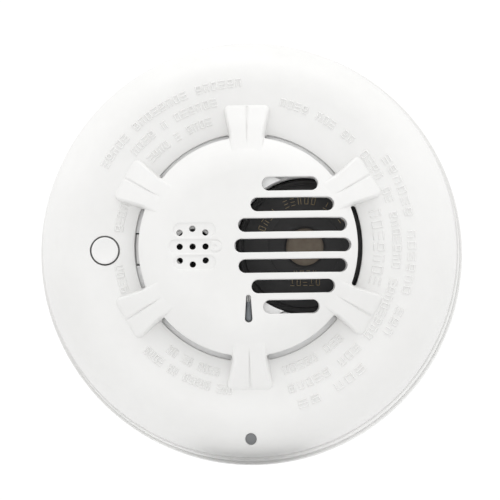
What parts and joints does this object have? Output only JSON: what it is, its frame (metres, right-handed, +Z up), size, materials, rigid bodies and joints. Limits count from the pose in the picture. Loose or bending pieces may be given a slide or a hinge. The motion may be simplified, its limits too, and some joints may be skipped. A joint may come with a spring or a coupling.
{
  "type": "carbon monoxide detector",
  "caption": "Round wall-mounted carbon monoxide detector with a slotted dome, sound gap, test button, status light and twist-off base.",
  "frame": {"origin": "centre of the mounting base's back face, midway between the two wall screws", "axes": "+Z up, -Y out of the front towards the room, +X to the right seen from the front"},
  "size_m": [0.142, 0.053, 0.142],
  "materials": {
    "cover_plastic": "satin",
    "base_plastic": "satin",
    "shroud_plastic": "matte",
    "black_plastic": "matte",
    "dark_cap": "matte",
    "button_plastic": "satin",
    "lens_smoke": "gloss",
    "led_plastic": "gloss",
    "board_laminate": "satin",
    "chip_black": "satin",
    "chip_tan": "satin",
    "tinned_metal": "satin",
    "gold_pins": "gloss",
    "diaphragm_brass": "satin",
    "foam_grey": "matte",
    "cap_sleeve": "gloss",
    "copper_winding": "gloss",
    "battery_sleeve": "satin",
    "spring_steel": "satin",
    "screw_steel": "satin",
    "label_paper": "matte",
    "probe_epoxy": "gloss"
  },
  "bodies": {
    "base": {"mounting_base": "base_plastic"},
    "head": {"rear_housing": "base_plastic", "front_cover": "cover_plastic", "inner_shroud": "shroud_plastic", "horn_housing": "black_plastic", "horn_diaphragm": "diaphragm_brass", "horn_pins": "tinned_metal", "co_cell_can": "black_plastic", "co_cell_cap": "dark_cap", "co_cell_pins": "tinned_metal", "cell_gasket": "foam_grey", "circuit_board": "board_laminate", "status_led": "led_plastic", "light_pipe": "lens_smoke", "test_switch": "chip_black", "thermistor": "probe_epoxy", "microcontroller": "chip_black", "amplifier_chip": "chip_black", "chip_components": "chip_tan", "capacitors": "cap_sleeve", "horn_inductor": "copper_winding", "header_pins": "gold_pins", "battery": "battery_sleeve", "battery_spring_contact": "spring_steel", "battery_plate_contact": "spring_steel", "housing_screws": "screw_steel", "board_screws": "screw_steel", "rating_label": "label_paper"},
    "button": {"test_button": "button_plastic"},
    "door": {"battery_door": "base_plastic"}
  },
  "joints": [
    {"name": "head_twist", "type": "hinge", "parent": "base", "child": "head", "pos_m": [0, 0, 0], "axis": [0, -1, 0], "range_deg": [0, 20]},
    {"name": "test_press", "type": "hinge", "parent": "head", "child": "button", "pos_m": [-0.03, -0.0404, 0], "axis": [0, 0, -1], "range_deg": [0, 1.6], "stiffness_Nm_per_rad": 1.2, "springref_deg": -1.15},
    {"name": "battery_door_swing", "type": "hinge", "parent": "head", "child": "door", "pos_m": [0.01, -0.0094, 0.0268], "axis": [1, 0, 0], "range_deg": [0, 95]}
  ]
}
